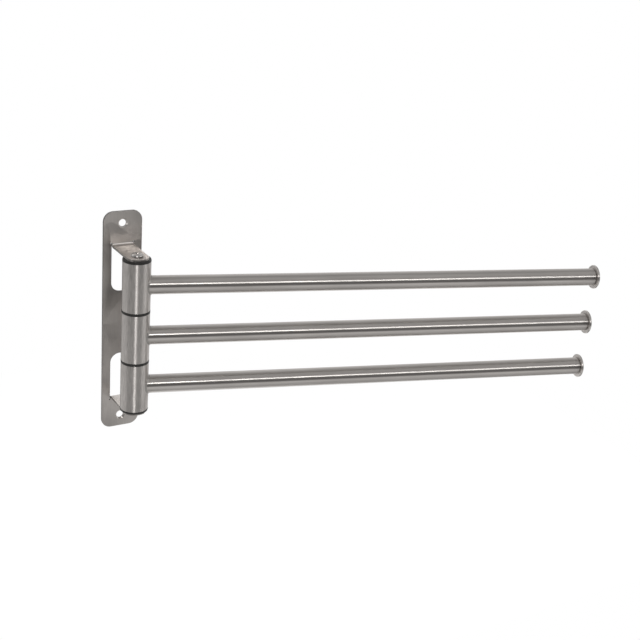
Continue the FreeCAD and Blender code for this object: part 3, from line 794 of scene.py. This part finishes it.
class TOWELBAR_OT_barrels(bpy.types.Operator):
    """Model the three barrels and their flanged bushes"""
    bl_idname = "towelbar.barrels"
    bl_label = "Barrels and Bushes"

    def execute(self, context):
        sizes = context.scene.bar_hinge
        steel = tube_finish(context.scene, "brushed_barrel", 6 * MM, 0.22)
        plastic = moulded_plastic("bush_plastic", context.scene.bar_finishes.plastic)
        for number, arm in enumerate(ARMS):
            body = "arm_" + arm
            low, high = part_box("barrel_" + arm)
            mesh = self.barrel(sizes)
            lay_turned_grain(mesh, number * NEXT_BARREL)
            stand_on_pivot(mesh, (low.z + high.z) / 2)
            add_piece(mesh, "barrel_" + arm, body, steel)
            for end in ("top", "bottom"):
                bush = "bush_" + arm + "_" + end
                low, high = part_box(bush)
                mesh = self.bush(sizes)
                upside_down = end == "bottom"
                stand_on_pivot(mesh, low.z if upside_down else high.z, upside_down)
                add_piece(mesh, bush, body, plastic)
        return {"FINISHED"}

    def barrel(self, sizes):
        """A short tube with broken outer edges, centred on the origin."""
        bore = BARREL_RADIUS - sizes.barrel_wall
        half = BARREL_LENGTH / 2
        mesh = turned([(bore, -half), (BARREL_RADIUS, -half), (BARREL_RADIUS, half),
                       (bore, half)])
        rims = ring(mesh, BARREL_RADIUS, half) + ring(mesh, BARREL_RADIUS, -half)
        round_edges(mesh, rims, sizes.barrel_edge, 2)
        return mesh

    def bush(self, sizes):
        """A flanged bush with its flange's outer face at z = 0."""
        bore = ROD_RADIUS + sizes.running_gap
        outer = BARREL_RADIUS - sizes.barrel_wall - sizes.bush_gap
        mesh = turned([(bore, -BUSH_HEIGHT), (outer - sizes.bush_lead, -BUSH_HEIGHT),
                       (outer, -BUSH_HEIGHT + sizes.bush_lead), (outer, -sizes.flange),
                       (FLANGE_RADIUS, -sizes.flange), (FLANGE_RADIUS, 0), (bore, 0)])
        rims = ring(mesh, FLANGE_RADIUS, 0) + ring(mesh, FLANGE_RADIUS, -sizes.flange)
        round_edges(mesh, rims, sizes.flange_edge, 3)
        lay_turned_grain(mesh)
        return mesh


class TOWELBAR_OT_arms(bpy.types.Operator):
    """Model the three arm tubes with their weld seams and end caps"""
    bl_idname = "towelbar.arms"
    bl_label = "Arms"

    def execute(self, context):
        sizes = context.scene.bar_arms
        steel = tube_finish(context.scene, "brushed_arm", 45 * MM, 0.12)
        cap_steel = brushed_steel("turned_cap", context.scene.bar_finishes.tube_steel, "own",
                                  streak=(2 * MM, 2 * MM, 0.5 * MM),
                                  groove=(4 * MM, 4 * MM, 0.12 * MM),
                                  roughness=0.36, stretch=0.8)
        weld_steel = brushed_steel("polished_weld", context.scene.bar_finishes.weld_steel,
                                   "own", streak=(0.8 * MM, 0.8 * MM, 0.6 * MM),
                                   groove=(0.7 * MM, 0.7 * MM, 0.7 * MM),
                                   roughness=0.4, stretch=0.4, depth=0.05 * MM)
        for number, arm in enumerate(ARMS):
            shapes = {
                "arm_tube_": (self.tube(sizes), "tube_steel", steel),
                "weld_seam_": (self.weld(sizes), "weld_steel", weld_steel),
                "end_cap_": (self.cap(sizes), "cap_steel", cap_steel),
            }
            for kind, (mesh, slot, material) in shapes.items():
                lay_turned_grain(mesh, number * NEXT_ARM)
                if kind != "end_cap_":
                    cope_to_barrel(mesh)
                lay_along_arm(mesh, arm)
                add_piece(mesh, kind + arm, "arm_" + arm, material)
        return {"FINISHED"}

    def tube(self, sizes):
        """The open tube from the barrel's side to its cap, along Z."""
        bore = ARM_RADIUS - sizes.wall
        far = sizes.reach - sizes.cap - sizes.cap_seam
        mesh = turned([(bore, BARREL_RADIUS), (ARM_RADIUS, BARREL_RADIUS),
                       (ARM_RADIUS, far), (bore, far)])
        round_edges(mesh, ring(mesh, ARM_RADIUS, far), sizes.cap_seam / 2, 2)
        return mesh

    def weld(self, sizes):
        """The slope between tube and barrel, rooted a little under both."""
        leg = sizes.weld_leg
        root = sizes.weld_root
        foot = SEAM_FOOT * leg
        swell = SEAM_SWELL * leg
        return turned([(ARM_RADIUS - root, BARREL_RADIUS - root),
                       (ARM_RADIUS + foot, BARREL_RADIUS - root),
                       (ARM_RADIUS + leg, BARREL_RADIUS),
                       (ARM_RADIUS + swell, BARREL_RADIUS + swell),
                       (ARM_RADIUS, BARREL_RADIUS + leg),
                       (ARM_RADIUS - root, BARREL_RADIUS + foot)])

    def cap(self, sizes):
        """A flanged cap whose hollow spigot fills the tube's end."""
        face = sizes.reach - sizes.cap
        inner_end = face - sizes.cap_spigot
        spigot = ARM_RADIUS - sizes.wall - sizes.cap_gap
        hollow = spigot - sizes.cap_shell
        mesh = turned([(hollow, inner_end), (spigot - sizes.cap_lead, inner_end),
                       (spigot, inner_end + sizes.cap_lead), (spigot, face),
                       (CAP_RADIUS, face), (CAP_RADIUS, sizes.reach), (0, sizes.reach),
                       (0, face), (hollow, face)])
        rims = ring(mesh, CAP_RADIUS, face) + ring(mesh, CAP_RADIUS, sizes.reach)
        round_edges(mesh, rims, (sizes.cap - sizes.cap_land) / 2, 4)
        return mesh


class TOWELBAR_OT_stage(bpy.types.Operator):
    """Set the floor, the lights, the backdrop and the camera"""
    bl_idname = "towelbar.stage"
    bl_label = "Stage"

    def execute(self, context):
        stage = context.scene.bar_stage
        context.scene.view_settings.view_transform = "Standard"
        self.floor()
        self.world(context.scene, stage)
        self.softbox(context.scene, stage, "key", stage.key_azimuth, stage.key_elevation,
                     stage.key_width, stage.key)
        self.softbox(context.scene, stage, "side", stage.side_azimuth,
                     stage.side_elevation, stage.side_width, stage.side)
        self.camera(context.scene, stage)
        return {"FINISHED"}

    def seen_directly(self, tree):
        """1 for camera, glossy and transmission rays, else 0."""
        path = put(tree, "ShaderNodeLightPath").outputs
        two = put(tree, "ShaderNodeMath", {0: path["Is Camera Ray"], 1: path["Is Glossy Ray"]},
                  operation="ADD")
        return put(tree, "ShaderNodeMath", {0: two.outputs[0], 1: path["Is Transmission Ray"]},
                   operation="ADD", use_clamp=True).outputs[0]

    def floor(self):
        """A white floor under the bar, which still takes a faint shadow."""
        mesh = bmesh.new()
        bmesh.ops.create_grid(mesh, x_segments=1, y_segments=1, size=1)
        bmesh.ops.scale(mesh, verts=mesh.verts, vec=FLOOR_SIZE)
        bmesh.ops.translate(mesh, verts=mesh.verts, vec=FLOOR_PLACE)
        data = bpy.data.meshes.new("floor")
        mesh.to_mesh(data)
        mesh.free()
        floor = bpy.data.objects.new("floor", data)
        bpy.context.scene.collection.objects.link(floor)
        material, tree = new_material("floor")
        paint = put(tree, "ShaderNodeBsdfDiffuse", {"Color": FLOOR_PAINT})
        glow = put(tree, "ShaderNodeEmission", {"Color": WHITE, "Strength": 1.0})
        share = put(tree, "ShaderNodeMath", {0: self.seen_directly(tree), 1: FLOOR_GLOW},
                    operation="MULTIPLY")
        mixed = put(tree, "ShaderNodeMixShader", {0: share.outputs[0], 1: paint.outputs[0],
                                                  2: glow.outputs[0]})
        put(tree, "ShaderNodeOutputMaterial", {"Surface": mixed.outputs[0]})
        data.materials.append(material)

    def heights(self, tree, height, stops):
        """A brightness for each height of a direction, from (height, brightness) stops."""
        ramp = put(tree, "ShaderNodeValToRGB", {0: height})
        points = ramp.color_ramp.elements
        while len(points) < len(stops):
            points.new(1)
        for point, (at, value) in zip(points, stops):
            point.position = (at + 1) / 2
            point.color = (value, value, value, 1)
        return ramp.outputs[0]

    def world(self, scene, stage):
        """White backdrop for the camera, and a plain room for the steel to reflect."""
        world = bpy.data.worlds.new("room")
        scene.world = world
        world.use_nodes = True
        tree = world.node_tree
        tree.nodes.clear()
        way = put(tree, "ShaderNodeSeparateXYZ",
                  {0: put(tree, "ShaderNodeTexCoord").outputs["Generated"]}).outputs
        height = put(tree, "ShaderNodeMapRange", {"Value": way[2], "From Min": -1.0,
                                                  "From Max": 1.0}).outputs[0]
        front = put(tree, "ShaderNodeMapRange",
                    {"Value": way[1], "From Min": FRONT_BLEND, "From Max": -FRONT_BLEND},
                    interpolation_type="SMOOTHSTEP").outputs[0]
        room, top = stage.room, stage.ceiling
        behind = self.heights(tree, height, BEHIND)
        before = self.heights(tree, height, (
            *BELOW_CAMERA, (ROOM_STARTS, room), (ROOM_ENDS, room), (CEILING_STARTS, top),
            (1.0, top)))
        beside = self.heights(tree, height, BESIDE)
        right = put(tree, "ShaderNodeMapRange",
                    {"Value": way[0], "From Min": BESIDE_STARTS, "From Max": BESIDE_FULL},
                    interpolation_type="SMOOTHSTEP").outputs[0]
        level = put(tree, "ShaderNodeMix", {0: front, 6: behind, 7: before},
                    data_type="RGBA").outputs[2]
        around = put(tree, "ShaderNodeMix", {0: right, 6: level, 7: beside},
                     data_type="RGBA").outputs[2]
        glossy = put(tree, "ShaderNodeLightPath").outputs["Is Glossy Ray"]
        seen = put(tree, "ShaderNodeMix", {0: glossy, 6: WHITE, 7: around},
                   data_type="RGBA").outputs[2]
        backdrop = put(tree, "ShaderNodeBackground", {"Color": seen, "Strength": 1.0})
        fill = put(tree, "ShaderNodeBackground", {"Color": WHITE, "Strength": stage.fill})
        mixed = put(tree, "ShaderNodeMixShader", {0: self.seen_directly(tree),
                                                  1: fill.outputs[0], 2: backdrop.outputs[0]})
        put(tree, "ShaderNodeOutputWorld", {"Surface": mixed.outputs[0]})

    def softbox(self, scene, stage, name, turn, rise, width, power):
        """A wide, low lamp that draws a bright line along each tube."""
        lamp = bpy.data.lights.new(name, "AREA")
        lamp.shape = "RECTANGLE"
        lamp.size = width
        lamp.size_y = stage.softbox_height
        lamp.energy = power
        box = bpy.data.objects.new(name, lamp)
        scene.collection.objects.link(box)
        away = Vector((sin(turn) * cos(rise), -cos(turn) * cos(rise), sin(rise)))
        aim = Vector((LIT_X, PIVOT_Y, 0))
        box.location = aim + away * stage.softbox_distance
        box.rotation_euler = away.to_track_quat("Z", "Y").to_euler()

    def camera(self, scene, stage):
        """The photograph's view of the bar."""
        lens = bpy.data.cameras.new("camera")
        lens.lens = stage.lens
        lens.sensor_width = FRAME_WIDTH
        lens.clip_start = NEAREST
        camera = bpy.data.objects.new("camera", lens)
        scene.collection.objects.link(camera)
        turn, tilt, roll = stage.camera_azimuth, stage.camera_elevation, stage.camera_roll
        back = Vector((sin(turn) * cos(tilt), -cos(turn) * cos(tilt), sin(tilt)))
        level = Vector((cos(turn), sin(turn), 0))
        upright = back.cross(level)
        right = cos(roll) * level + sin(roll) * upright
        up = -sin(roll) * level + cos(roll) * upright
        camera.matrix_world = Matrix.Translation(stage.camera_place) @ Matrix(
            (right, up, back)).transposed().to_4x4()
        scene.camera = camera


class TOWELBAR_PT_panel(bpy.types.Panel):
    """Lists the steps that build the towel bar"""
    bl_idname = "TOWELBAR_PT_panel"
    bl_label = "Towel Bar"
    bl_space_type = "VIEW_3D"
    bl_region_type = "UI"
    bl_category = "Towel Bar"

    def draw(self, context):
        for step in STEPS:
            self.layout.operator(step.bl_idname)
        for group in GROUPS:
            settings = getattr(context.scene, group)
            box = self.layout.box()
            for name in settings.bl_rna.properties.keys():
                if name not in ("rna_type", "name"):
                    box.prop(settings, name)


STEPS = (TOWELBAR_OT_wall_plate, TOWELBAR_OT_pivot, TOWELBAR_OT_barrels, TOWELBAR_OT_arms,
         TOWELBAR_OT_stage)
GROUPS = {"bar_plate": PlateSizes, "bar_hinge": HingeSizes, "bar_arms": ArmSizes,
          "bar_finishes": Finishes, "bar_stage": StageSettings}


def register():
    for group, kind in GROUPS.items():
        bpy.utils.register_class(kind)
        setattr(bpy.types.Scene, group, PointerProperty(type=kind))
    for step in (*STEPS, TOWELBAR_PT_panel):
        bpy.utils.register_class(step)


def unregister():
    for step in (TOWELBAR_PT_panel, *reversed(STEPS)):
        bpy.utils.unregister_class(step)
    for group, kind in reversed(GROUPS.items()):
        delattr(bpy.types.Scene, group)
        bpy.utils.unregister_class(kind)


def main():
    """Build the towel bar and its stage."""
    register()
    bpy.ops.towelbar.wall_plate()
    bpy.ops.towelbar.pivot()
    bpy.ops.towelbar.barrels()
    bpy.ops.towelbar.arms()
    bpy.ops.towelbar.stage()


if __name__ == "__main__":
    main()
